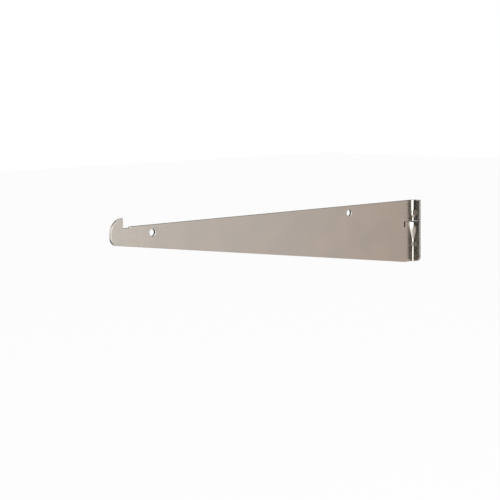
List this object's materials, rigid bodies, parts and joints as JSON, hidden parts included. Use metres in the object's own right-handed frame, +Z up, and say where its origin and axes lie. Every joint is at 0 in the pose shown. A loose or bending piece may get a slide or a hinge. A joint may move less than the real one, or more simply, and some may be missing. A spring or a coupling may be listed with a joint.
{
  "type": "slotted shelf bracket",
  "caption": "Folded sheet-steel shelf bracket with a tapering blade, an upstanding nose, clip holes, a rear flange and hooks for a slotted upright.",
  "frame": {"origin": "on the plane of the flange's back, at the blade's mid-plane and the height of the shelf line", "axes": "+Y into the upright, -Y along the blade to the nose, +Z up, +X to the side that the flange is folded to"},
  "size_m": [0.0081, 0.3026, 0.055],
  "materials": {
    "plated_steel": "satin-bright plated sheet steel, warm grey, with bright cut edges"
  },
  "bodies": {
    "root": {"bracket": "plated_steel"}
  },
  "joints": []
}
